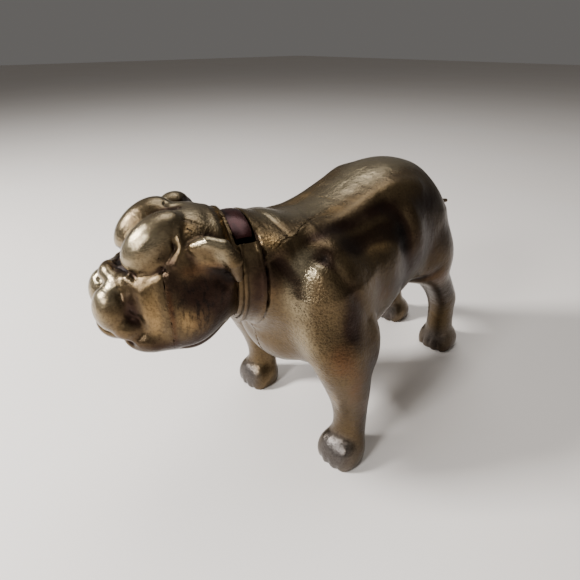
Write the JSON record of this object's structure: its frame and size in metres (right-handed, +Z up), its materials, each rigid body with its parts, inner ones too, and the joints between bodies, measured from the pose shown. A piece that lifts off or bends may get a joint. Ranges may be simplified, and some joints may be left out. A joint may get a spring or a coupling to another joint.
{
  "type": "figural animal coin bank",
  "caption": "Bulldog-shaped coin bank of soldered hollow castings with a collar, a gated coin slot across the nape, a tail and a screw-plugged belly outlet.",
  "frame": {"origin": "middle of the bank's bounding box, on the surface that the paws stand on", "axes": "+Z up, -Y the way the dog faces, +X the dog's left"},
  "size_m": [0.066, 0.1584, 0.0921],
  "materials": {
    "casting_bronze": "bronzed and worn",
    "gate_copper": "tarnished",
    "pin_steel": "satin",
    "bracket_steel": "satin",
    "spring_steel": "satin",
    "outlet_brass": "worn",
    "plug_brass": "worn",
    "washer_rubber": "matte"
  },
  "bodies": {
    "bank": {"face": "casting_bronze", "head_back": "casting_bronze", "collar": "casting_bronze", "body_left": "casting_bronze", "body_right": "casting_bronze", "back_cover": "casting_bronze", "tail": "casting_bronze", "gate_pin": "pin_steel", "gate_bracket": "bracket_steel", "gate_spring": "spring_steel", "outlet_ring": "outlet_brass"},
    "gate": {"coin_gate": "gate_copper"},
    "plug_travel": {"plug_washer": "washer_rubber"},
    "plug": {"outlet_plug": "plug_brass"}
  },
  "joints": [
    {"name": "gate_hinge", "type": "hinge", "parent": "bank", "child": "gate", "pos_m": [-0.01122, -0.03784, 0.07931], "axis": [0.309, 0.9511, 0], "range_deg": [0, 35], "stiffness_Nm_per_rad": 0.0008, "springref_deg": -20.05, "deforming": ["gate_spring"]},
    {"name": "plug_slide", "type": "slide", "parent": "bank", "child": "plug_travel", "axis": [0, 0.309, -0.9511], "range_m": [0, 0.006]},
    {"name": "plug_turn", "type": "hinge", "parent": "plug_travel", "child": "plug", "pos_m": [0, 0.00745, 0.0382], "axis": [0, 0.309, -0.9511], "range_deg": [0, 1080]}
  ],
  "couplings": [
    {"joint": "plug_slide", "follows": "plug_turn", "m_per_rad": 0.0003183}
  ]
}
